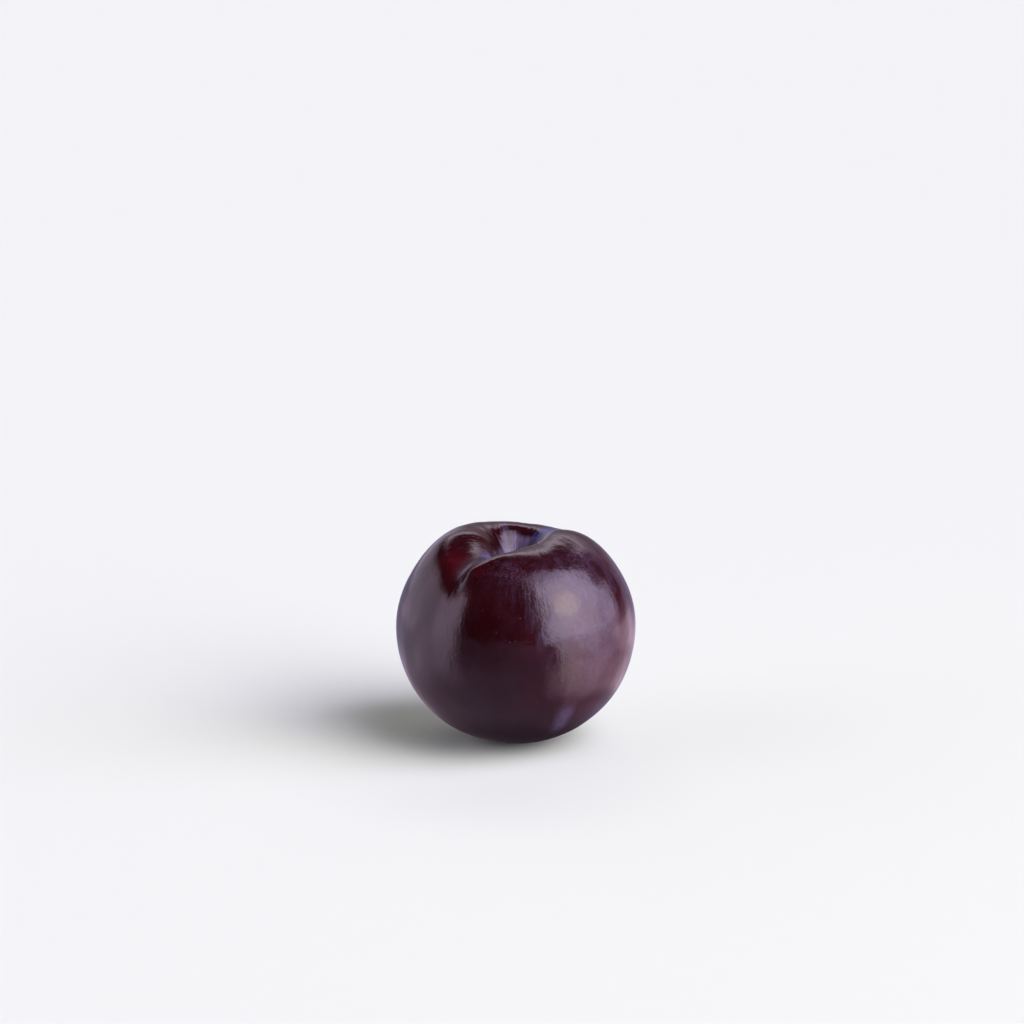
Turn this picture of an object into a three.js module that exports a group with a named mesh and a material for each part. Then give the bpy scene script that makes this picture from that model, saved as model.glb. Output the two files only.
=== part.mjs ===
import * as THREE from "three";

// A whole plum as one closed solid: a round body, a stem cavity at the top between two
// uneven shoulders, the suture that runs down from the cavity, and a small flat spot below.
// Millimetres, +Z up. The origin is the middle of the flat spot that the fruit rests on.
// Directions round the fruit are degrees from +X, counted towards +Y.

// Body
const BODY_RADIUS = 34.2;
const WAIST_HEIGHT = 32.6; // of the widest ring
const WAIST_TILT = 0.3; // the widest ring is this much higher at +X and lower at -X
const SPOT_RADIUS = 6;
const LOWER_BULGE = 0.26; // how far the skin stands out from a true ellipse
const UPPER_BULGE = { mean: -0.83, towardsX: 0.14, towardsY: -0.9 };

// Rim of the stem cavity
const RIM_RADIUS = 12.7;
const RIM_HEIGHT = 59.1;
const SHOULDERS = [
  { direction: 178.7, halfWidth: 49, rise: 2.85 },
  { direction: -171, halfWidth: 13.5, rise: 0.5 },
  { direction: -16, halfWidth: 35, rise: 2.6 },
  { direction: 111, halfWidth: 38, rise: 1 },
];
const FURROW = { direction: 171, halfWidth: 13, depth: 0.47 }; // over the rim, behind the left shoulder

// Stem cavity
const CAVITY_FLOOR = 50;
const CAVITY_FLARE = 1.25; // more keeps the wall high for longer on the way in
const SCAR_RADIUS = 2; // where the stem came away
const SCAR_RISE = 0.4;

// Suture
const SUTURE_DIRECTION = -128.8;
const SUTURE_LEAN = -4.3; // degrees that it turns on the way up
const SUTURE_DEPTH = 8;
const SUTURE_HALF_WIDTH = { left: 30, right: 26.4 }; // degrees, at the rim
const SUTURE_STEEPNESS = { left: 1.2, right: 2.25 };
const SUTURE_ROUNDING = 1.5; // degrees
const SINK_CENTRE_HEIGHT = 30; // the suture sinks towards this point on the axis

// Way along the skin: 0 edge of the spot, 1 widest ring, 2 rim of the cavity, 3 its middle
const SUTURE_SHARE = [
  [0, 0],
  [1, 0.02],
  [1.3, 0.02],
  [1.42, 0.05],
  [1.5, 0.14],
  [1.6, 0.29],
  [1.76, 0.45],
  [1.9, 0.6],
  [2.02, 0.75],
  [2.15, 0.9],
  [2.28, 0.5],
  [2.376, 0],
];
const SUTURE_SPREAD = {
  left: [
    [0, 0.5],
    [1, 0.4],
    [1.3, 0.25],
    [1.5, 0.16],
    [1.6, 0.24],
    [1.7, 0.45],
    [1.8, 0.68],
    [2, 1.1],
    [2.376, 1.3],
  ],
  right: [
    [0, 0.5],
    [1, 0.4],
    [1.3, 0.25],
    [1.5, 0.16],
    [1.6, 0.16],
    [1.7, 0.3],
    [1.8, 0.5],
    [2, 1.1],
    [2.376, 1.3],
  ],
};
const FURROW_SHARE = [
  [1.3, 0],
  [1.7, 0.5],
  [2, 1],
  [2.2, 0.6],
  [2.35, 0],
];
const RIM_SQUEEZE = 0.376; // for stops past the rim, so that a fold keeps its slope there

// Facets
const DIRECTIONS = 80;
const CROWDING = 0.5; // share by which directions crowd towards the suture
const LOWER_ROWS = 12;
const UPPER_ROWS = 16;
const CAVITY_ROWS = 9;

const radians = THREE.MathUtils.degToRad;

// Shortest turn from one direction to another, in degrees
const turn = (from, to) => THREE.MathUtils.euclideanModulo(to - from + 180, 360) - 180;

// Value at a place in a list of [place, value] stops
function between(stops, place) {
  const next = stops.findIndex(([stop]) => stop >= place);
  if (next === 0) return stops[0][1];
  if (next < 0) return stops.at(-1)[1];
  const [startPlace, start] = stops[next - 1];
  const [endPlace, end] = stops[next];
  return THREE.MathUtils.mapLinear(place, startPlace, endPlace, start, end);
}

const squeezed = (way) => Math.min(way, 2) + Math.max(way - 2, 0) * RIM_SQUEEZE;

function rimHeight(direction) {
  return SHOULDERS.reduce((height, shoulder) => {
    const aside = turn(shoulder.direction, direction) / shoulder.halfWidth;
    return height + shoulder.rise * Math.exp(-(aside ** 2));
  }, RIM_HEIGHT);
}

// Radius and height of the body without its suture
function bodyPoint(way, direction) {
  const cos = Math.cos(radians(direction));
  const sin = Math.sin(radians(direction));
  const waist = WAIST_HEIGHT + WAIST_TILT * cos;
  const rim = rimHeight(direction);

  if (way <= 1) {
    const spotAngle = Math.asin(SPOT_RADIUS / BODY_RADIUS);
    const angle = THREE.MathUtils.lerp(spotAngle, Math.PI / 2, way);
    const bulge = LOWER_BULGE * Math.sin(Math.PI * way) ** 2;
    const drop = waist / Math.cos(spotAngle) + bulge;
    const reach = BODY_RADIUS + bulge;
    return new THREE.Vector2(reach * Math.sin(angle), waist - drop * Math.cos(angle));
  }

  if (way <= 2) {
    const angle = (way - 1) * (Math.PI / 2);
    const swell = UPPER_BULGE.mean + UPPER_BULGE.towardsX * cos + UPPER_BULGE.towardsY * sin;
    const bulge = swell * Math.sin(2 * angle) ** 2;
    const reach = BODY_RADIUS - RIM_RADIUS + bulge;
    const rise = rim - waist + bulge;
    return new THREE.Vector2(RIM_RADIUS + reach * Math.cos(angle), waist + rise * Math.sin(angle));
  }

  const inward = way - 2;
  const depth = THREE.MathUtils.smoothstep(inward ** CAVITY_FLARE, 0, 1);
  return new THREE.Vector2(RIM_RADIUS * (1 - inward), THREE.MathUtils.lerp(rim, CAVITY_FLOOR, depth));
}

function sutureDepth(way, direction) {
  const place = squeezed(way);
  const lean = SUTURE_LEAN * Math.max(place - 1.7, -0.7);
  const aside = turn(SUTURE_DIRECTION + lean, direction);
  const side = aside > 0 ? "right" : "left";
  const width = SUTURE_HALF_WIDTH[side] * between(SUTURE_SPREAD[side], place);
  const distance = Math.hypot(aside, SUTURE_ROUNDING) - SUTURE_ROUNDING;
  const share = Math.exp(-((distance / width) ** SUTURE_STEEPNESS[side]));
  return SUTURE_DEPTH * between(SUTURE_SHARE, place) * share;
}

function furrowDepth(way, direction) {
  const aside = turn(FURROW.direction, direction) / FURROW.halfWidth;
  return FURROW.depth * between(FURROW_SHARE, squeezed(way)) * Math.exp(-(aside ** 2));
}

function skinPoint(way, direction) {
  const point = bodyPoint(way, direction);
  const sinkCentre = new THREE.Vector2(0, SINK_CENTRE_HEIGHT);
  const inward = sinkCentre.sub(point).normalize();
  return point.addScaledVector(inward, sutureDepth(way, direction) + furrowDepth(way, direction));
}

// Ways of the rows of facets, from the edge of the spot to the edge of the stem scar
function rowWays() {
  const lower = Array.from({ length: LOWER_ROWS }, (_, row) => row / LOWER_ROWS);
  const upper = Array.from({ length: UPPER_ROWS }, (_, row) => 1 + row / UPPER_ROWS);
  const scarEdge = 3 - (1.15 * SCAR_RADIUS) / RIM_RADIUS;
  const cavity = Array.from({ length: CAVITY_ROWS }, (_, row) =>
    THREE.MathUtils.lerp(2, scarEdge, row / (CAVITY_ROWS - 1)),
  );
  return [...lower, ...upper, ...cavity];
}

// The body is turned as a plain lathe shape, and then each of its points moves to the skin.
function plumGeometry() {
  const ways = rowWays();
  const scarHeight = CAVITY_FLOOR + SCAR_RISE;
  const scar = [new THREE.Vector2(SCAR_RADIUS, scarHeight), new THREE.Vector2(0, scarHeight)];
  const profile = [new THREE.Vector2(0, 0), ...ways.map((way) => bodyPoint(way, 0)), ...scar];
  const geometry = new THREE.LatheGeometry(profile, DIRECTIONS);
  const position = geometry.getAttribute("position");

  for (let column = 0; column <= DIRECTIONS; column++) {
    const even = ((column % DIRECTIONS) / DIRECTIONS) * 360;
    const pull = THREE.MathUtils.radToDeg(CROWDING * Math.sin(radians(even - SUTURE_DIRECTION)));
    const direction = even - pull;
    const cos = Math.cos(radians(direction));
    const sin = Math.sin(radians(direction));
    for (let row = 0; row < profile.length; row++) {
      const way = ways[row - 1];
      const point = way === undefined ? profile[row] : skinPoint(way, direction);
      const vertex = column * profile.length + row;
      position.setXYZ(vertex, point.x * cos, point.x * sin, point.y);
    }
  }

  geometry.computeVertexNormals();
  return geometry;
}

const skin = new THREE.MeshStandardMaterial({ color: 0x3a0f1c, roughness: 0.28, metalness: 0 });

const plum = new THREE.Mesh(plumGeometry(), skin);
plum.name = "plum";

const part = new THREE.Group();
part.add(plum);

export default part;
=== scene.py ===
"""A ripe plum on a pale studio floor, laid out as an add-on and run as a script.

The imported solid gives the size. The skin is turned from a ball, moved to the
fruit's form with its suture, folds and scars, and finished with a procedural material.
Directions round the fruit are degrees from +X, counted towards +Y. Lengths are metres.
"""

import math

import bmesh
import bpy
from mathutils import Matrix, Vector, noise


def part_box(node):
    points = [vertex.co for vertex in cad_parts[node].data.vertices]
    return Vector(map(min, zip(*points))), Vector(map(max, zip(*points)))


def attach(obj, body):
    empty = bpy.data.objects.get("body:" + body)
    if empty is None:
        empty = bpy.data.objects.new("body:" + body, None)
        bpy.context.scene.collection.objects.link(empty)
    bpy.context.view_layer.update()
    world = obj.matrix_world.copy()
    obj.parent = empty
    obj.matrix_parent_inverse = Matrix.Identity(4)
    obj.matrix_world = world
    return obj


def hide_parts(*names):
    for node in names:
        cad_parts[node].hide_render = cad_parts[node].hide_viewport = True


bl_info = {
    "name": "Plum",
    "version": (1, 0, 0),
    "blender": (4, 5, 0),
    "location": "View3D > Sidebar > Plum",
    "description": "Builds a ripe plum with its skin, suture and bloom, and a studio to show it in",
    "category": "Add Mesh",
}

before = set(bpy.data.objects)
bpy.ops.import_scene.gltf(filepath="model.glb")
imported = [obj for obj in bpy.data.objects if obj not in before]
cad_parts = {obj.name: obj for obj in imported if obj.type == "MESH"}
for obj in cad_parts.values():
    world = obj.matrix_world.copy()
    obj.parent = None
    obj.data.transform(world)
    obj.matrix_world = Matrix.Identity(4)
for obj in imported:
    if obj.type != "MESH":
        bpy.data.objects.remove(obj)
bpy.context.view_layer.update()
FRUIT_LOW, FRUIT_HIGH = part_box("plum")

MM = 0.001

# Form. The way along the skin is 0 at the blossom end, 1 at the widest ring, 2 at the rim of
# the stem cavity and 3 at its middle. Stops past the rim are squeezed, so that a fold that
# crosses the rim keeps its slope there.
WAIST_TILT = 0.3 * MM
LOWER_BULGE = 0.26 * MM
UPPER_BULGE = (-0.83 * MM, 0.14 * MM, -0.9 * MM)  # everywhere, towards +X, towards +Y
SHOULDERS = (  # direction, half width in degrees, rise
    (178.7, 49, 2.85 * MM),
    (-171, 13.5, 0.5 * MM),
    (-16, 35, 2.6 * MM),
    (111, 38, 1.0 * MM),
)
FURROW = {"direction": 171, "half_width": 13, "depth": 0.47 * MM}
FURROW_SHARE = ((1.3, 0), (1.7, 0.5), (2, 1), (2.2, 0.6), (2.35, 0))
CAVITY_FLARE = 1.25
RIM_SQUEEZE = 0.376
SUTURE_DIRECTION = -128.8
SUTURE_MIDDLE = 1.7  # the way at which it lies in that direction
SUTURE_LEAN = -4.3  # degrees that it turns in one way, from the waist up
# Each side of the suture falls off over a half width in degrees times its spread there.
SUTURE_HALF_WIDTH = {"left": 30, "right": 26.4}
SUTURE_STEEPNESS = {"left": 1.2, "right": 2.25}
SUTURE_ROUNDING = 1.5
# How much of the suture's depth there is at each way.
SUTURE_SHARE = (
    (0, 0),
    (1, 0.02),
    (1.3, 0.02),
    (1.42, 0.05),
    (1.5, 0.14),
    (1.6, 0.29),
    (1.76, 0.45),
    (1.9, 0.6),
    (2.02, 0.75),
    (2.15, 0.9),
    (2.28, 0.5),
    (2.376, 0),
)
SUTURE_SPREAD = {
    "left": (
        (0, 0.5),
        (1, 0.4),
        (1.3, 0.25),
        (1.5, 0.16),
        (1.6, 0.24),
        (1.7, 0.45),
        (1.8, 0.68),
        (2, 1.1),
        (2.376, 1.3),
    ),
    "right": (
        (0, 0.5),
        (1, 0.4),
        (1.3, 0.25),
        (1.5, 0.16),
        (1.6, 0.16),
        (1.7, 0.3),
        (1.8, 0.5),
        (2, 1.1),
        (2.376, 1.3),
    ),
}
SINK_CENTRE = Vector((0, 30 * MM))  # what the suture and the furrow sink towards

# Fine form
CREASE_WIDTH = 0.55 * MM
CLEFT_HALF_WIDTH = 8  # degrees, of the band in which the crease gathers wax
CREASE_SHARE = ((1.2, 0), (1.5, 0.3), (1.7, 0.9), (1.8, 1), (2.08, 1), (2.3, 0))
FOLD_SHARE = ((1.7, 0), (1.95, 0.5), (2.3, 1), (2.7, 0.7), (2.85, 0))
FOLDS = (  # how many in a radian, how much they bend in a way, share, shift
    (4, 0.8, 1, 0),
    (11, 1.2, 0.45, 5),
)
LUMPS = (  # size, share, shift
    (15 * MM, 1, (0, 0, 0)),
    (5 * MM, 0.22, (3, 1, 2)),
)
LUMP_START = 8 * MM  # the height by which the lumps are full
SPOT_SOFTNESS = 0.12 * MM
BLOSSOM_SCAR = 1.3 * MM
BLOSSOM_SINK = 0.3 * MM
STEM_SCAR = 2.1 * MM
STEM_SCAR_EDGE = (1.15 * STEM_SCAR, 0.3 * STEM_SCAR)  # where its slope ends and how wide it is
STEM_SCAR_DENT = (0.5 * STEM_SCAR, 0.8)  # radius, and depth as a share of the scar's rise

# Mesh
DIRECTIONS = 352
RINGS = 256
RING_WAYS = ((0, 0), (0.36, 1), (0.72, 2), (1, 3))
CROWDING = 0.5  # how much closer the directions lie beside the suture


def between(stops, place):
    """Value at a place in (place, value) stops."""
    before = stops[0]
    for after in stops:
        if after[0] >= place:
            span = after[0] - before[0]
            share = (place - before[0]) / span if span else 0
            return before[1] + (after[1] - before[1]) * share
        before = after
    return before[1]


def flowing(stops, place):
    """Value at a place in (place, value) stops, without a corner at any stop."""
    last = len(stops) - 1
    if place <= stops[0][0]:
        return stops[0][1]
    if place >= stops[last][0]:
        return stops[last][1]
    rates = [(b[1] - a[1]) / (b[0] - a[0]) for a, b in zip(stops, stops[1:])]
    index = sum(stop[0] <= place for stop in stops) - 1
    rate = rates[index]
    before = rates[max(index - 1, 0)]
    after = rates[min(index + 1, last - 1)]
    start_rate = (before + rate) / 2 if before * rate > 0 else 0
    end_rate = (rate + after) / 2 if rate * after > 0 else 0
    span = stops[index + 1][0] - stops[index][0]
    share = (place - stops[index][0]) / span
    level = stops[index][1] + (stops[index + 1][1] - stops[index][1]) * ease(share)
    start_swing = (start_rate * (1 - share) ** 2) * share * span
    end_swing = (end_rate * share**2) * (1 - share) * span
    return level + start_swing - end_swing


def turn(start, end):
    """Shortest turn from one direction to another, in degrees."""
    return (end - start + 180) % 360 - 180


def ease(share):
    """Smooth step from 0 to 1."""
    share = min(max(share, 0), 1)
    return share * share * (3 - 2 * share)


def squeezed(way):
    """The way, with the part past the rim squeezed."""
    return min(way, 2) + max(way - 2, 0) * RIM_SQUEEZE


def rim_height(shape, direction):
    rises = (
        rise * math.exp(-((turn(middle, direction) / half_width) ** 2))
        for middle, half_width, rise in SHOULDERS
    )
    return shape.rim_height + sum(rises)


def lower_point(shape, way, waist):
    angle = way * math.pi / 2
    spot_angle = math.asin(shape.spot_radius / shape.body_radius)
    bulge = LOWER_BULGE * math.sin(math.pi * way) ** 2
    drop = waist / math.cos(spot_angle) + bulge
    radius = (shape.body_radius + bulge) * math.sin(angle)
    height = waist - drop * math.cos(angle)
    sink = BLOSSOM_SINK * ease(1 - radius / BLOSSOM_SCAR)
    return Vector((radius, (height + math.hypot(height, SPOT_SOFTNESS)) / 2 + sink))


def upper_point(shape, way, waist, direction):
    angle = (way - 1) * math.pi / 2
    mean, towards_x, towards_y = UPPER_BULGE
    angle_round = math.radians(direction)
    swell = mean + towards_x * math.cos(angle_round) + towards_y * math.sin(angle_round)
    bulge = swell * math.sin(2 * angle) ** 2
    reach = shape.body_radius - shape.rim_radius + bulge
    rise = rim_height(shape, direction) - waist + bulge
    return Vector((shape.rim_radius + reach * math.cos(angle), waist + rise * math.sin(angle)))


def cavity_point(shape, way, direction):
    inward = way - 2
    radius = shape.rim_radius * (1 - inward)
    rim = rim_height(shape, direction)
    height = rim + (shape.cavity_floor - rim) * ease(inward**CAVITY_FLARE)
    return Vector((radius, height + scar_height(shape, radius)))


def scar_height(shape, radius):
    """The stem scar: a low button with a raised lip and a sunk middle."""
    end, slope = STEM_SCAR_EDGE
    dent, depth = STEM_SCAR_DENT
    button = ease((end - radius) / slope)
    middle = math.exp(-((radius / dent) ** 2))
    return shape.scar_rise * (button - depth * middle)


def body_point(shape, way, direction):
    """Radius and height of the body without its suture."""
    waist = shape.waist_height + WAIST_TILT * math.cos(math.radians(direction))
    if way <= 1:
        return lower_point(shape, way, waist)
    if way <= 2:
        return upper_point(shape, way, waist, direction)
    return cavity_point(shape, way, direction)


def suture_aside(way, direction):
    """How far a direction is from the suture, in degrees."""
    lean = SUTURE_LEAN * (max(squeezed(way), 1) - SUTURE_MIDDLE)
    return turn(SUTURE_DIRECTION + lean, direction)


def suture_depth(shape, way, direction, radius):
    aside = suture_aside(way, direction)
    side = "right" if aside > 0 else "left"
    place = squeezed(way)
    width = SUTURE_HALF_WIDTH[side] * flowing(SUTURE_SPREAD[side], place)
    distance = math.hypot(aside, SUTURE_ROUNDING) - SUTURE_ROUNDING
    valley = flowing(SUTURE_SHARE, place) * math.exp(-((distance / width) ** SUTURE_STEEPNESS[side]))
    arc = math.radians(aside) * max(radius, STEM_SCAR)
    crease = between(CREASE_SHARE, place) * math.exp(-((arc / CREASE_WIDTH) ** 2))
    return shape.suture_depth * valley + shape.crease_depth * crease


def furrow_depth(way, direction):
    """The shallow furrow over the rim behind the left shoulder."""
    aside = turn(FURROW["direction"], direction) / FURROW["half_width"]
    return FURROW["depth"] * flowing(FURROW_SHARE, squeezed(way)) * math.exp(-(aside**2))


def fold_height(shape, way, direction):
    """Fine folds that run from the cavity out over its rim."""
    share = between(FOLD_SHARE, way)
    if share == 0:
        return 0
    angle = math.radians(direction)
    around = Vector((math.cos(angle), math.sin(angle), 0))
    height = 0
    for count, bend, part, shift in FOLDS:
        height += part * noise.noise(around * count + Vector((shift, 0, way * bend)))
    return shape.fold_height * share * height


def lump_height(shape, point):
    """Slow swells in the skin, which make a reflection waver."""
    height = 0
    for size, part, shift in LUMPS:
        height += part * noise.noise(point / size + Vector(shift))
    return shape.lump_height * height


def skin_point(shape, way, direction):
    """Where the skin is, as (x, y, z)."""
    flat = body_point(shape, way, direction)
    depth = suture_depth(shape, way, direction, flat.x)
    outward = (flat - SINK_CENTRE).normalized()
    lift = fold_height(shape, way, direction) - depth - furrow_depth(way, direction)
    flat += outward * lift
    angle = math.radians(direction)
    point = Vector((flat.x * math.cos(angle), flat.x * math.sin(angle), flat.y))
    lump = lump_height(shape, point) * ease(flat.y / LUMP_START)
    return point + (point - Vector((0, 0, SINK_CENTRE.y))).normalized() * lump


def fruit_mesh(shape):
    """A ball whose latitudes are ways along the skin, moved to the skin."""
    bm = bmesh.new()
    bmesh.ops.create_uvsphere(bm, u_segments=DIRECTIONS, v_segments=RINGS, radius=1)
    along = bm.verts.layers.float.new("along")
    cleft = bm.verts.layers.float.new("cleft")
    for vert in bm.verts:
        latitude = math.asin(min(max(vert.co.z, -1), 1)) / math.pi + 0.5
        way = between(RING_WAYS, latitude)
        even = math.degrees(math.atan2(vert.co.y, vert.co.x))
        pull = CROWDING * math.sin(math.radians(even - SUTURE_DIRECTION))
        direction = even - math.degrees(pull)
        vert[along] = way
        aside = suture_aside(way, direction) / CLEFT_HALF_WIDTH
        vert[cleft] = math.exp(-(aside**2)) * between(CREASE_SHARE, squeezed(way))
        vert.co = skin_point(shape, way, direction)
    bmesh.ops.recalc_face_normals(bm, faces=bm.faces)
    for face in bm.faces:
        face.smooth = True
    mesh = bpy.data.meshes.new("plum_skin")
    bm.to_mesh(mesh)
    bm.free()
    return mesh


class Signal:
    """A shader socket that adds Math nodes where it meets Python's operators."""

    def __init__(self, bench, socket):
        self.bench = bench
        self.socket = socket

    def math(self, operation, *values):
        sockets = dict(enumerate((self, *values)))
        return self.bench.add("ShaderNodeMath", {"operation": operation}, sockets).out()

    def __add__(self, other):
        return self.math("ADD", other)

    def __sub__(self, other):
        return self.math("SUBTRACT", other)

    def __mul__(self, other):
        return self.math("MULTIPLY", other)

    def __truediv__(self, other):
        return self.math("DIVIDE", other)

    def __pow__(self, other):
        return self.math("POWER", other)

    def __rsub__(self, other):
        return (self * -1) + other

    __radd__ = __add__
    __rmul__ = __mul__

    def larger(self, other):
        return self.math("MAXIMUM", other)

    def ramp(self, start, end):
        """0 at start and 1 at end, eased between."""
        sockets = {"Value": self, "From Min": start, "From Max": end}
        return self.bench.add("ShaderNodeMapRange", {"interpolation_type": "SMOOTHSTEP"}, sockets).out()

    def hump(self, start, full, fade=None, gone=None):
        """0 at start and 1 from full on, and where a fade is given, back to 0 at gone."""
        share = self.ramp(start, full)
        return share if fade is None else share * (1 - self.ramp(fade, gone))

    def band(self, limits, softness):
        """1 between two limits, fading over a softness each side of both."""
        low, high = limits
        return self.hump(low - softness, low + softness, high - softness, high + softness)


class Made:
    """A node that a bench has added."""

    def __init__(self, bench, node):
        self.bench = bench
        self.node = node

    def out(self, name=0):
        return Signal(self.bench, self.node.outputs[name])


class Bench:
    """Adds nodes to one node tree."""

    def __init__(self, tree):
        self.tree = tree
        tree.nodes.clear()

    def add(self, kind, settings=None, sockets=None):
        node = self.tree.nodes.new(kind)
        for name, value in (settings or {}).items():
            setattr(node, name, value)
        for name, value in (sockets or {}).items():
            if isinstance(value, Signal):
                self.tree.links.new(value.socket, node.inputs[name])
            else:
                node.inputs[name].default_value = value
        return Made(self, node)

    def mix(self, share, first, second):
        """A colour mixed from two, by a share from 0 to 1."""
        return self.add("ShaderNodeMix", {"data_type": "RGBA"}, {0: share, 6: first, 7: second}).out(2)

    def vector(self, operation, first, second, output=0):
        sockets = {0: first, 1: second}
        return self.add("ShaderNodeVectorMath", {"operation": operation}, sockets).out(output)

    def noise(self, place, size, detail, roughness):
        """Noise from 0 to 1 whose lumps are about size across."""
        sockets = {
            "Vector": place,
            "Scale": 1 / size,
            "Detail": detail,
            "Roughness": roughness,
        }
        return self.add("ShaderNodeTexNoise", None, sockets).out()

    def attribute(self, name):
        return self.add("ShaderNodeAttribute", {"attribute_name": name}).out("Fac")


def shade(red, green, blue):
    """A linear colour with alpha."""
    return (red, green, blue, 1)


class PlumShape(bpy.types.PropertyGroup):
    """Sizes of the fruit."""

    body_radius: bpy.props.FloatProperty(
        name="Body radius",
        description="Radius of the widest ring",
        default=(FRUIT_HIGH.x - FRUIT_LOW.x) / 2,
        subtype="DISTANCE",
        unit="LENGTH",
    )
    waist_height: bpy.props.FloatProperty(
        name="Waist height",
        description="Height of the widest ring",
        default=32.6 * MM,
        subtype="DISTANCE",
        unit="LENGTH",
    )
    spot_radius: bpy.props.FloatProperty(
        name="Spot radius",
        description="Radius of the flat spot that the fruit rests on",
        default=6 * MM,
        subtype="DISTANCE",
        unit="LENGTH",
    )
    rim_radius: bpy.props.FloatProperty(
        name="Rim radius",
        description="Radius of the rim of the stem cavity",
        default=12.7 * MM,
        subtype="DISTANCE",
        unit="LENGTH",
    )
    rim_height: bpy.props.FloatProperty(
        name="Rim height",
        description="Height of the rim away from the shoulders",
        default=59.1 * MM,
        subtype="DISTANCE",
        unit="LENGTH",
    )
    cavity_floor: bpy.props.FloatProperty(
        name="Cavity floor",
        description="Height of the bottom of the stem cavity",
        default=50 * MM,
        subtype="DISTANCE",
        unit="LENGTH",
    )
    scar_rise: bpy.props.FloatProperty(
        name="Scar rise",
        description="How far the stem scar stands up",
        default=0.4 * MM,
        subtype="DISTANCE",
        unit="LENGTH",
    )
    suture_depth: bpy.props.FloatProperty(
        name="Suture depth",
        description="Depth of the suture at a full share, of which the rim has three quarters",
        default=8 * MM,
        subtype="DISTANCE",
        unit="LENGTH",
    )
    crease_depth: bpy.props.FloatProperty(
        name="Crease depth",
        description="Depth of the fine crease along the bottom of the suture",
        default=0.5 * MM,
        subtype="DISTANCE",
        unit="LENGTH",
    )
    fold_height: bpy.props.FloatProperty(
        name="Fold height",
        description="Height of the fine folds over the rim",
        default=0.22 * MM,
        subtype="DISTANCE",
        unit="LENGTH",
    )
    lump_height: bpy.props.FloatProperty(
        name="Lump height",
        description="Height of the slow swells in the skin",
        default=0.16 * MM,
        subtype="DISTANCE",
        unit="LENGTH",
    )


class PlumSkin(bpy.types.PropertyGroup):
    """Colours and gloss of the skin."""

    dark: bpy.props.FloatVectorProperty(
        name="Dark skin",
        description="Colour of most of the skin",
        default=(0.0165, 0.0008, 0.0021),
        size=3,
        subtype="COLOR",
    )
    red: bpy.props.FloatVectorProperty(
        name="Red skin",
        description="Colour where the skin is thinner and redder",
        default=(0.043, 0.0003, 0.0025),
        size=3,
        subtype="COLOR",
    )
    brown: bpy.props.FloatVectorProperty(
        name="Brown skin",
        description="Colour where the skin is a little browner and lighter",
        default=(0.032, 0.004, 0.0052),
        size=3,
        subtype="COLOR",
    )
    bloom: bpy.props.FloatVectorProperty(
        name="Bloom",
        description="Colour of the pale wax on the skin",
        default=(0.26, 0.235, 0.38),
        size=3,
        subtype="COLOR",
    )
    # Painted warm reflection: a warm red laid into the colour low on the right, where the skin mirrors
    # a warm-lit table.
    painted_warm_reflection: bpy.props.FloatVectorProperty(
        name="Painted warm reflection",
        description="Colour of the warm patches low on the right",
        default=(0.07, 0.0135, 0.013),
        size=3,
        subtype="COLOR",
    )
    lenticel: bpy.props.FloatVectorProperty(
        name="Lenticel",
        description="Colour of the tiny pores in the skin",
        default=(0.30, 0.10, 0.09),
        size=3,
        subtype="COLOR",
    )
    blue: bpy.props.FloatVectorProperty(
        name="Blue bloom",
        description="Colour of the deep blue wax in the stem cavity",
        default=(0.06, 0.073, 0.22),
        size=3,
        subtype="COLOR",
    )
    wave_height: bpy.props.FloatProperty(
        name="Wave height",
        description="Height of the fine waves that run from the stem down",
        default=0.07 * MM,
        subtype="DISTANCE",
        unit="LENGTH",
    )
    gloss_roughness: bpy.props.FloatProperty(
        name="Gloss roughness",
        description="Roughness of the bare skin",
        default=0.125,
        min=0,
        max=1,
    )


class PlumStudio(bpy.types.PropertyGroup):
    """The floor and the camera."""

    floor_tone: bpy.props.FloatVectorProperty(
        name="Floor tone",
        description="Colour of the floor",
        default=(0.675, 0.806, 0.625),
        size=3,
        subtype="COLOR",
    )
    view_height: bpy.props.FloatProperty(
        name="View height",
        description="How far above level the camera looks from",
        default=math.radians(16),
        subtype="ANGLE",
        unit="ROTATION",
    )
    view_distance: bpy.props.FloatProperty(
        name="View distance",
        description="Distance from the camera to the middle of the fruit",
        default=0.8136,
        subtype="DISTANCE",
        unit="LENGTH",
    )


# Places on the skin. A zone has its directions, its ways and how soft the edges of both are. A
# spot has its middle, its radius and how far it fades outside that, in millimetres.
ZONES = {
    # Painted warm reflection low on the right, laid into the skin's colour.
    "painted reflection": ((-66, 0), (0.5, 1.15), (8, 0.3)),
    "thick pores": ((-104, -84), (1.1, 1.3), (3, 0.04)),
    "far wall": ((50, 93), (2.4, 2.8), (10, 0.06)),
    "far rim": ((104, 118), (2.05, 2.3), (6, 0.08)),
    "pit": ((70, 190), (2.6, 3.2), (20, 0.08)),
    "top": ((-120, 20), (1.5, 1.95), (25, 0.15)),
    "upper run": ((-99, -82), (1.36, 1.62), (6, 0.1)),
    "middle run": ((-85, -80), (1.2, 1.38), (2, 0.06)),
    "lower run": ((-80, -76), (1.07, 1.26), (1.5, 0.06)),
    "strip": ((-66, -57), (0.47, 0.68), (4, 0.07)),
    "right edge": ((-45, 10), (1.2, 1.75), (8, 0.1)),
    "left edge": ((-172, -142), (0.8, 1.4), (8, 0.15)),
    "veil": ((-75, 30), (0.9, 1.75), (12, 0.2)),
    "blue wall": ((21, 52), (1.96, 2.45), (6, 0.08)),
}
SPOTS = {
    "lobe": ((-18, -13.5, 54), 1, 7.5),
    "beside lobe": ((-9.5, -20.5, 54), 0.5, 5),
    "blossom scar": ((0, 0, 0), 0.5, 0.8),
    "haze": ((-9.8, -7.5, 56.4), 1.5, 3.5),
    "shoulder": ((-1.5, -24, 54.8), 1, 7),
    "far shoulder": ((18.5, -16, 56.5), 1, 7),
}
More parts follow.
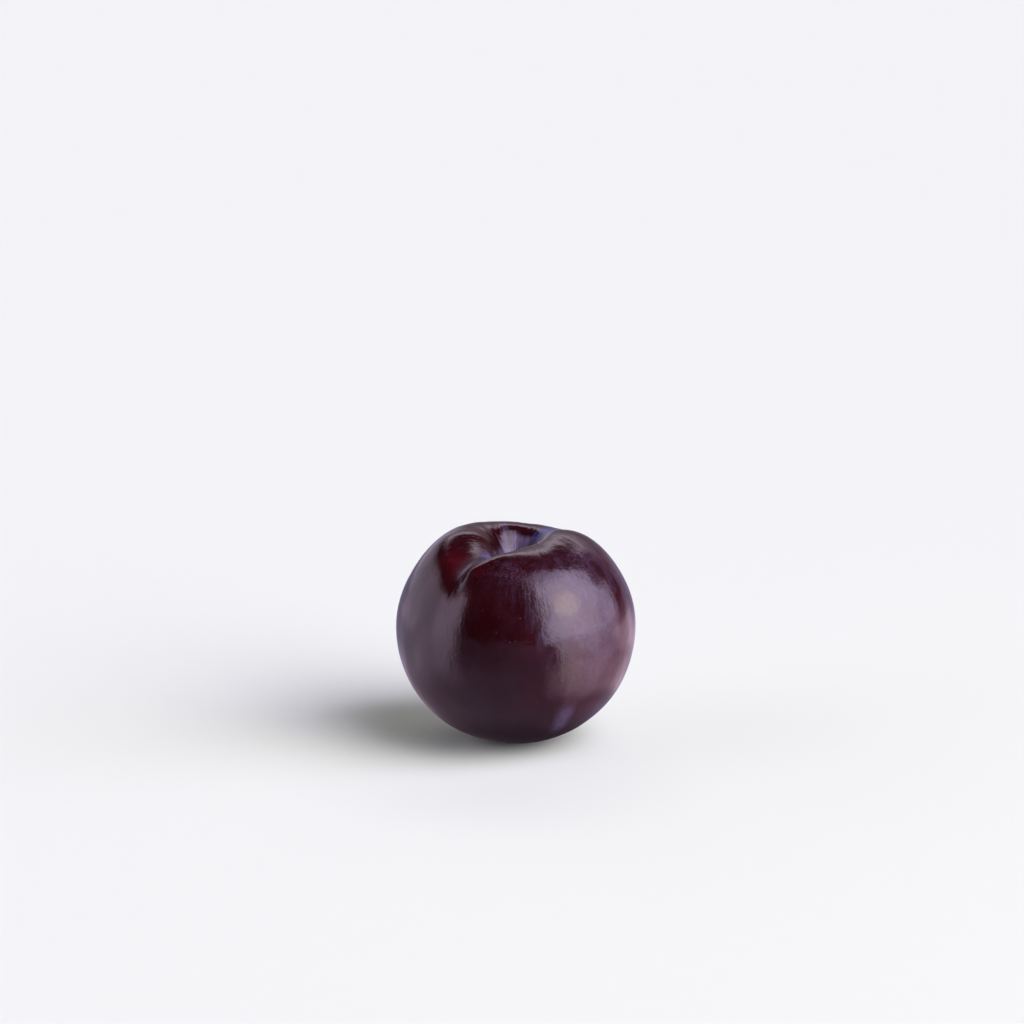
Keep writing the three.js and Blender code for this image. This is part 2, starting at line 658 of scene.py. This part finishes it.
# The ways between which wax lies in the crease, and how soft their ends are.
PALE_CREASE = ((1.94, 2.13), 0.05)
BLUE_CREASE = ((1.9, 2.08), 0.05)
# How much pale wax each place carries, from 0 to 1.
WAX = {
    "far wall": 0.46,
    "far rim": 0.35,
    "pit": 0.25,
    "crease": 0.8,
    "haze": 0.12,
    "shoulder": 0.22,
    "far shoulder": 0.22,
    "top": 0.07,
    "upper run": 0.08,
    "lower runs": 0.2,
    "strip": 0.34,
    "right edge": 0.06,
    "left edge": 0.05,
    "veil": 0.08,
    "everywhere": 0.016,
}
BLUE_IN_CREASE = 0.7
WAX_ROUGHNESS = 0.3
HAIR_ROUGHNESS = 0.06
HAIR_HEIGHT = 0.012 * MM
SKIN_IOR = 1.46
LENTICEL_GAP = 1.5 * MM


class SkinMap:
    """Coordinates over the skin, and masks and patterns made from them."""

    def __init__(self, bench):
        self.bench = bench
        self.place = bench.add("ShaderNodeTexCoord").out("Object")
        axes = bench.add("ShaderNodeSeparateXYZ", None, {"Vector": self.place})
        self.heading = axes.out("Y").math("ARCTAN2", axes.out("X"))
        self.along = bench.attribute("along")
        self.cleft = bench.attribute("cleft")

    def aside(self, direction):
        """Degrees from a direction, without a sign."""
        turned = self.heading * math.degrees(1) - direction
        return turned.math("WRAP", 180, -180).math("ABSOLUTE")

    def zone(self, name):
        """1 inside a zone of the skin, and 0 outside it."""
        directions, ways, (turn_softness, way_softness) = ZONES[name]
        middle = sum(directions) / 2
        half = (directions[1] - directions[0]) / 2
        share = 1 - self.aside(middle).ramp(half - turn_softness, half + turn_softness)
        return share * self.along.band(ways, way_softness)

    def spot(self, name):
        """1 inside a spot on the skin, and 0 outside it."""
        middle, radius, softness = SPOTS[name]
        distance = self.bench.vector("DISTANCE", self.place, Vector(middle) * MM, "Value")
        return 1 - distance.ramp(radius * MM, (radius + softness) * MM)

    def strands(self, turns, lengths, detail, roughness):
        """Noise drawn out from the stem down: so many strands in a radian and lengths in a way."""
        sockets = {
            "X": self.heading.math("COSINE") * turns,
            "Y": self.heading.math("SINE") * turns,
            "Z": self.along * lengths,
        }
        place = self.bench.add("ShaderNodeCombineXYZ", None, sockets).out()
        return self.bench.noise(place, 1, detail, roughness)

    def specks(self, size, start, end):
        """Noise with lumps of a size in millimetres, 0 below start and 1 above end."""
        return self.bench.noise(self.place, size * MM, detail=3, roughness=0.65).ramp(start, end)


def skin_colour(bench, skin, skin_map):
    """Colour of the skin under its wax, with a painted warm reflection low on the right."""
    dark = shade(*skin.dark)
    red = shade(*skin.red)
    brown = shade(*skin.brown)
    slow = bench.noise(skin_map.place, size=13 * MM, detail=3, roughness=0.55)
    quick = bench.noise(skin_map.place, size=4 * MM, detail=4, roughness=0.6)
    base = bench.mix(slow.ramp(0.42, 0.75) * 0.6, dark, brown)
    # Painted warm reflection low on the right: brown and a warm red laid into the colour where the skin
    # mirrors a warm-lit table.
    painted_reflection = skin_map.zone("painted reflection")
    base = bench.mix(painted_reflection * quick.ramp(0.35, 0.62), base, brown)
    base = bench.mix(painted_reflection * (1 - quick.ramp(0.26, 0.6)) * 0.55, base, shade(*skin.painted_warm_reflection))
    reddened = skin_map.spot("lobe").larger(skin_map.spot("beside lobe") * 0.7)
    base = bench.mix(reddened * quick.ramp(0.25, 0.6), base, red)
    base = bench.mix(skin_map.spot("blossom scar") * 0.5, base, shade(*skin.lenticel))
    return bench.mix(lenticels(bench, skin_map) * 0.6, base, shade(*skin.lenticel))


def lenticels(bench, skin_map):
    """Tiny pale pores, thick in one place on the front and thin elsewhere."""
    sockets = {"Vector": skin_map.place, "Scale": 1 / LENTICEL_GAP}
    cells = bench.add("ShaderNodeTexVoronoi", None, sockets)
    dots = 1 - cells.out("Distance").ramp(0.05, 0.13)
    pick = bench.add("ShaderNodeSeparateXYZ", None, {"Vector": cells.out("Color")}).out()
    thick = skin_map.zone("thick pores") * pick.ramp(0.3, 0.4)
    thin = skin_map.along.ramp(0.3, 0.6) * pick.ramp(0.86, 0.9) * 0.5
    return dots * thick.larger(thin)


def bloom_share(skin_map):
    """How much pale wax is on the skin, from 0 to 1."""
    streaks = skin_map.strands(turns=22, lengths=5, detail=3, roughness=0.65).ramp(0.40, 0.64)
    clouds = skin_map.strands(turns=7, lengths=2.5, detail=4, roughness=0.7).ramp(0.34, 0.68)
    drawn = skin_map.strands(turns=13, lengths=2, detail=4, roughness=0.7).ramp(0.36, 0.62)
    dust = skin_map.specks(size=0.38, start=0.53, end=0.66)
    grains = skin_map.specks(size=1.5, start=0.4, end=0.7)
    powder = dust * 0.7 + grains * 0.3
    flecks = skin_map.specks(size=2.2, start=0.44, end=0.62)
    patchy = skin_map.specks(size=6, start=0.36, end=0.62)
    crease = skin_map.cleft * skin_map.along.band(*PALE_CREASE)
    lower_runs = skin_map.zone("middle run").larger(skin_map.zone("lower run"))
    patterns = {
        "far wall": skin_map.zone("far wall") * (clouds * 0.5 + 0.5),
        "far rim": skin_map.zone("far rim") * clouds,
        "pit": skin_map.zone("pit"),
        "crease": crease * (powder * 0.7 + 0.3),
        "haze": skin_map.spot("haze") * powder,
        "shoulder": skin_map.spot("shoulder") * powder,
        "far shoulder": skin_map.spot("far shoulder") * powder,
        "top": skin_map.zone("top") * powder,
        "upper run": skin_map.zone("upper run") * (streaks * 0.3 + powder * 0.7),
        "lower runs": lower_runs * drawn * (powder * 0.6 + 0.4),
        "strip": skin_map.zone("strip") * (powder * 0.5 + 0.5),
        "right edge": skin_map.zone("right edge") * streaks,
        "left edge": skin_map.zone("left edge") * streaks,
    }
    veil = skin_map.zone("veil") * WAX["veil"] + WAX["everywhere"]
    share = patchy * (flecks * 0.4 + clouds * 0.6) * veil
    for name, pattern in patterns.items():
        share = share.larger(pattern * WAX[name])
    return share


def blue_share(skin_map):
    """How much of the deep blue wax inside the cavity there is, from 0 to 1."""
    streaks = skin_map.strands(turns=19, lengths=5, detail=3, roughness=0.75).ramp(0.40, 0.60)
    wall = skin_map.zone("blue wall") * (streaks * 0.9 + 0.1)
    flecks = skin_map.specks(size=0.5, start=0.4, end=0.6)
    crease = skin_map.cleft * skin_map.along.band(*BLUE_CREASE) * flecks
    return wall.larger(crease * BLUE_IN_CREASE)


def skin_material(skin):
    material = bpy.data.materials.new("plum_skin")
    material.use_nodes = True
    bench = Bench(material.node_tree)
    skin_map = SkinMap(bench)
    bloom = bloom_share(skin_map)
    blue = blue_share(skin_map)
    colour = bench.mix(bloom, skin_colour(bench, skin, skin_map), shade(*skin.bloom))
    colour = bench.mix(blue, colour, shade(*skin.blue))
    outside = 1 - skin_map.along.ramp(1.6, 2.3) * 0.65
    waves = skin_map.strands(turns=12, lengths=2.5, detail=2, roughness=0.5) * outside
    hairs = skin_map.strands(turns=60, lengths=10, detail=2, roughness=0.6) * outside
    pores = skin_map.specks(size=0.6, start=0.3, end=0.7)
    ripples = skin_map.specks(size=3.2, start=0.2, end=0.8)
    bare = hairs * HAIR_ROUGHNESS + (skin.gloss_roughness - HAIR_ROUGHNESS / 2)
    roughness = (bloom + blue + skin_map.cleft) * WAX_ROUGHNESS + bare
    rim = skin_map.along.hump(1.7, 1.9, 2.3, 2.6)
    folds = skin_map.strands(turns=20, lengths=1.5, detail=2, roughness=0.6) * rim * 0.7
    broad_bump = bench.add(
        "ShaderNodeBump",
        None,
        {"Strength": 1, "Distance": skin.wave_height, "Height": waves + ripples * 0.6 + folds},
    ).out()
    fine_bump = bench.add(
        "ShaderNodeBump",
        None,
        {"Strength": 1, "Distance": HAIR_HEIGHT, "Height": hairs + pores * 0.5, "Normal": broad_bump},
    ).out()
    surface = bench.add(
        "ShaderNodeBsdfPrincipled",
        None,
        {
            "Base Color": colour,
            "Roughness": roughness,
            "IOR": SKIN_IOR,
            "Normal": fine_bump,
        },
    ).out()
    bench.add("ShaderNodeOutputMaterial", None, {"Surface": surface})
    return material


FLOOR_SIZE = 12
TARGET = Vector((0, 0, 31 * MM))
LENS = 100
SENSOR = 36
FOCUS = LENS / SENSOR * 1024  # in pixels of a frame 1024 wide
AIM_ABOVE = math.atan(120 / FOCUS)
AIM_LEFT = math.atan(4 / FOCUS)
# The glow round the room: azimuths from the camera's side towards +X, elevations, how soft
# the edges are, all in degrees, and the brightness in red, green and blue. Each panel covers
# those before it. The right panels' near edge is straight and leans, and has its azimuth at the
# horizon.
DARK_ROOM = (0.03, 0.028, 0.03)
PANELS = (
    ((140, 220), (-20, 28), 8, (0.27, 0.22, 0.27)),
    ((135, 210), (24, 40), 7, (0.75, 0.64, 0.75)),
    ((135, 210), (38, 50), 5, (2.5, 2.15, 2.5)),
    ((-172, -63), (-20, 28), 7, (0.94, 0.80, 1.06)),
    ((-122, -62), (-20, 35), 8, (1.38, 1.12, 1.52)),
    ((-84, -64), (-20, 38), 7, (2.40, 1.90, 2.65)),
)
RIGHT_PANELS = (
    ((30, 114), (-20, 22), 6, (2.8, 2.35, 3.5)),
    ((30, 102), (-20, 78), 6, (2.6, 2.2, 3.3)),
    ((37, 99), (15, 62), 8, (5.1, 4.3, 6.4)),
    ((32, 87), (-6, 62), 12, (5.6, 4.7, 6.7)),
    ((46, 68), (17, 46), 13, (7.4, 6.1, 6.4)),
)
PANEL_LEAN = 0.02
LAMP_PLACE = (55, 31)
LAMP_SPREAD = 25
LAMP_DISTANCE = 0.6
LAMP_BRIGHTNESS = 1.05
LAMP_COLOUR = (1.0, 0.84, 0.55)
# Where the floor glows as the skin sees it: headings from the camera's side towards +X in
# degrees, and distances from the fruit's middle, each as start, full, fade and gone, and how
# strongly. A glow without a fade goes on to the floor's edge. The strongest of these and of the
# glow beyond counts, and the left glow and the one under the fruit add to it.
FLOOR_GLOWS = (
    ((20, 30, 120, 136), (38 * MM, 54 * MM, 75 * MM, 130 * MM), 0.75),
    ((96, 108, 130, 148), (60 * MM, 130 * MM, 260 * MM, 600 * MM), 1.25),
    ((-150, -136, -118, -100), (180 * MM, 380 * MM), 0.4),
)
LEFT_GLOW = ((-114, -88, -66, -50), (32 * MM, 110 * MM), 0.62)
BEYOND_GLOW = 0.5
BEYOND_TOWARDS = (0.8, 0.6)  # +X and +Y
BEYOND_START = (30 * MM, 110 * MM)
BEYOND_BACK = (-20 * MM, 60 * MM)
BEYOND_END = (110 * MM, 220 * MM)
UNDER_GLOW = 0.24
UNDER_END = (60 * MM, 120 * MM)
UNDER_HEADINGS = (-60, 60)  # full left of these and gone right of them
FAINT_GLOW = 0.04  # everywhere
BLACK = (0, 0, 0)
FULL_GLOW = 2  # brighter than the floor ever glows
GLOW_COLOUR = (1, 0.72, 0.92)
MATT_FLOOR = (0.20, 0.22, 0.26)
SHADED_FLOOR = (0.06, 0.065, 0.075)
SHADED_RING = (16 * MM, 34 * MM)  # where the shade under the fruit starts to fade and is gone
SHADE = 0.72  # how much of the glow it takes away
MIRROR_SHARE = (0.65, 0.06)  # at a flat slant, and everywhere
MIRROR_ROUGHNESS = 0.22
MIRROR_RING = (28 * MM, 54 * MM)
# Where the floor doesn't mirror: behind the fruit by slope, in front on the right by heading,
# and behind on the left by heading and distance.
DULL_BEHIND = (0.7, 1.4)
DULL_FRONT = (-20, 0, 35, 43)
DULL_LEFT = ((-118, -96), (36 * MM, 90 * MM))
SEEN_ROOM = (0.9, 0.9, 0.9)


def direction_to(azimuth, elevation):
    azimuth = math.radians(azimuth)
    elevation = math.radians(elevation)
    flat = math.cos(elevation)
    return Vector((math.sin(azimuth) * flat, -math.cos(azimuth) * flat, math.sin(elevation)))


def add_lamp():
    """The round warm lamp inside the right panel."""
    light = bpy.data.lights.new("lamp", "AREA")
    light.shape = "DISK"
    light.size = 2 * LAMP_DISTANCE * math.tan(math.radians(LAMP_SPREAD) / 2)
    light.energy = LAMP_BRIGHTNESS * math.pi * light.size**2
    light.color = LAMP_COLOUR
    towards = direction_to(*LAMP_PLACE)
    lamp = bpy.data.objects.new("lamp", light)
    lamp.location = TARGET + towards * LAMP_DISTANCE
    lamp.rotation_euler = towards.to_track_quat("Z", "Y").to_euler()
    lamp.visible_camera = False
    bpy.context.scene.collection.objects.link(lamp)


def add_camera(studio):
    camera = bpy.data.objects.new("camera", bpy.data.cameras.new("camera"))
    camera.data.lens = LENS
    camera.data.sensor_width = SENSOR
    back = direction_to(0, math.degrees(studio.view_height))
    camera.location = TARGET + back * studio.view_distance
    camera.rotation_euler = (math.pi / 2 - studio.view_height + AIM_ABOVE, 0, AIM_LEFT)
    bpy.context.scene.collection.objects.link(camera)
    bpy.context.scene.camera = camera


class FloorMap:
    """Coordinates over the floor."""

    def __init__(self, bench):
        self.bench = bench
        place = bench.add("ShaderNodeTexCoord").out("Object")
        axes = bench.add("ShaderNodeSeparateXYZ", None, {"Vector": place})
        self.right = axes.out("X")
        self.back = axes.out("Y")
        self.away = bench.vector("LENGTH", place, (0, 0, 0), "Value")
        self.heading = self.right.math("ARCTAN2", self.back * -1) * math.degrees(1)
        self.shaded = 1 - self.away.ramp(*SHADED_RING)

    def patch(self, headings, distances, strength):
        """A glow over a range of headings and of distances."""
        return self.heading.hump(*headings) * self.away.hump(*distances) * strength


def floor_mirror(bench, floor_map):
    """How much of the floor is a mirror, from 0 to 1."""
    slant = bench.add("ShaderNodeLayerWeight", None, {"Blend": 0.5}).out("Facing")
    slanting, least = MIRROR_SHARE
    mirror = slant**1.8 * slanting + least
    behind = (floor_map.back / floor_map.right.math("ABSOLUTE")).ramp(*DULL_BEHIND)
    front = floor_map.heading.hump(*DULL_FRONT)
    headings, distances = DULL_LEFT
    left = (1 - floor_map.heading.ramp(*headings)) * (1 - floor_map.away.ramp(*distances))
    mirror *= (1 - behind) * (1 - front) * (1 - left)
    return mirror * floor_map.away.ramp(*MIRROR_RING)


def floor_glow(floor_map):
    """How strongly the floor glows as the skin sees it."""
    towards_x, towards_y = BEYOND_TOWARDS
    beyond = (floor_map.right * towards_x + floor_map.back * towards_y).ramp(*BEYOND_START)
    beyond *= floor_map.back.ramp(*BEYOND_BACK) * (1 - floor_map.away.ramp(*BEYOND_END))
    glow = beyond * BEYOND_GLOW
    for patch in FLOOR_GLOWS:
        glow = glow.larger(floor_map.patch(*patch))
    under = (1 - floor_map.away.ramp(*UNDER_END)) * (1 - floor_map.heading.ramp(*UNDER_HEADINGS))
    low = (under * UNDER_GLOW + FAINT_GLOW) * (1 - floor_map.shaded * SHADE)
    return glow + floor_map.patch(*LEFT_GLOW) + low


def floor_material(studio):
    """A plain tone as the camera sees it, and a lit table top as the skin sees it."""
    material = bpy.data.materials.new("studio_floor")
    material.use_nodes = True
    bench = Bench(material.node_tree)
    floor_map = FloorMap(bench)
    seen = bench.add("ShaderNodeLightPath").out("Is Camera Ray")
    pale = bench.add("ShaderNodeBsdfDiffuse", None, {"Color": shade(*studio.floor_tone)}).out()
    tone = bench.mix(floor_map.shaded, shade(*MATT_FLOOR), shade(*SHADED_FLOOR))
    matt = bench.add("ShaderNodeBsdfDiffuse", None, {"Color": tone}).out()
    sockets = {"Color": shade(1, 1, 1), "Roughness": MIRROR_ROUGHNESS}
    sheen = bench.add("ShaderNodeBsdfGlossy", None, sockets).out()
    sockets = {0: floor_mirror(bench, floor_map), 1: matt, 2: sheen}
    table = bench.add("ShaderNodeMixShader", None, sockets).out()
    full = Vector(GLOW_COLOUR) * FULL_GLOW
    light = bench.mix(floor_glow(floor_map) / FULL_GLOW, shade(*BLACK), shade(*full))
    glow = bench.add("ShaderNodeEmission", None, {"Color": light}).out()
    table = bench.add("ShaderNodeAddShader", None, {0: table, 1: glow}).out()
    surface = bench.add("ShaderNodeMixShader", None, {0: seen, 1: table, 2: pale}).out()
    bench.add("ShaderNodeOutputMaterial", None, {"Surface": surface})
    return material


def add_floor(studio):
    bm = bmesh.new()
    bmesh.ops.create_grid(bm, x_segments=1, y_segments=1, size=FLOOR_SIZE / 2)
    mesh = bpy.data.meshes.new("studio_floor")
    bm.to_mesh(mesh)
    bm.free()
    mesh.materials.append(floor_material(studio))
    floor = bpy.data.objects.new("studio_floor", mesh)
    bpy.context.scene.collection.objects.link(floor)


def room_colour(bench):
    """Colour of the room in each direction, with its soft panels."""
    towards = bench.add("ShaderNodeTexCoord").out("Generated")
    axes = bench.add("ShaderNodeSeparateXYZ", None, {"Vector": towards})
    azimuth = axes.out("X").math("ARCTAN2", axes.out("Y") * -1) * math.degrees(1)
    elevation = axes.out("Z").math("ARCSINE") * math.degrees(1)
    colour = shade(*DARK_ROOM)
    for azimuths, elevations, softness, brightness in PANELS:
        middle = sum(azimuths) / 2
        half = (azimuths[1] - azimuths[0]) / 2
        aside = (azimuth - middle).math("WRAP", 180, -180).math("ABSOLUTE")
        share = 1 - aside.ramp(half - softness, half + softness)
        share *= elevation.band(elevations, softness)
        colour = bench.mix(share, colour, shade(*brightness))
    for azimuths, elevations, softness, brightness in RIGHT_PANELS:
        edge = math.radians(azimuths[0])
        blur = math.radians(softness)
        past = axes.out("X") * math.cos(edge) + axes.out("Y") * math.sin(edge)
        share = (past + axes.out("Z") * PANEL_LEAN).ramp(-blur, blur)
        share *= azimuth.band((-90, azimuths[1]), softness)
        share *= elevation.band(elevations, softness)
        colour = bench.mix(share, colour, shade(*brightness))
    return colour


def set_world():
    world = bpy.data.worlds.new("studio")
    world.use_nodes = True
    bench = Bench(world.node_tree)
    seen = bench.add("ShaderNodeLightPath").out("Is Camera Ray")
    colour = bench.mix(seen, room_colour(bench), shade(*SEEN_ROOM))
    background = bench.add("ShaderNodeBackground", None, {"Color": colour}).out()
    bench.add("ShaderNodeOutputWorld", None, {"Surface": background})
    bpy.context.scene.world = world
    bpy.context.scene.view_settings.view_transform = "Standard"


class PLUM_OT_add_fruit(bpy.types.Operator):
    """Add the plum"""

    bl_idname = "plum.add_fruit"
    bl_label = "Add Plum"

    def execute(self, context):
        mesh = fruit_mesh(context.scene.plum_shape)
        mesh.materials.append(skin_material(context.scene.plum_skin))
        fruit = bpy.data.objects.new("plum_fruit", mesh)
        context.scene.collection.objects.link(fruit)
        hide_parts("plum")
        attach(fruit, "root")
        return {"FINISHED"}


class PLUM_OT_add_studio(bpy.types.Operator):
    """Add the floor, the lights and the camera"""

    bl_idname = "plum.add_studio"
    bl_label = "Add Studio"

    def execute(self, context):
        studio = context.scene.plum_studio
        add_floor(studio)
        set_world()
        add_lamp()
        add_camera(studio)
        return {"FINISHED"}


class PLUM_PT_sidebar(bpy.types.Panel):
    """Lists the operators and the main settings"""

    bl_idname = "PLUM_PT_sidebar"
    bl_label = "Plum"
    bl_space_type = "VIEW_3D"
    bl_region_type = "UI"
    bl_category = "Plum"

    def draw(self, context):
        column = self.layout.column()
        for group in (context.scene.plum_shape, context.scene.plum_skin, context.scene.plum_studio):
            for name in group.__annotations__:
                column.prop(group, name)
        column.operator(PLUM_OT_add_fruit.bl_idname)
        column.operator(PLUM_OT_add_studio.bl_idname)


CLASSES = (
    PlumShape,
    PlumSkin,
    PlumStudio,
    PLUM_OT_add_fruit,
    PLUM_OT_add_studio,
    PLUM_PT_sidebar,
)


def register():
    for item in CLASSES:
        bpy.utils.register_class(item)
    bpy.types.Scene.plum_shape = bpy.props.PointerProperty(type=PlumShape)
    bpy.types.Scene.plum_skin = bpy.props.PointerProperty(type=PlumSkin)
    bpy.types.Scene.plum_studio = bpy.props.PointerProperty(type=PlumStudio)


def unregister():
    del bpy.types.Scene.plum_studio
    del bpy.types.Scene.plum_skin
    del bpy.types.Scene.plum_shape
    for item in reversed(CLASSES):
        bpy.utils.unregister_class(item)


def main():
    register()
    bpy.ops.plum.add_studio()
    bpy.ops.plum.add_fruit()


if __name__ == "__main__":
    main()
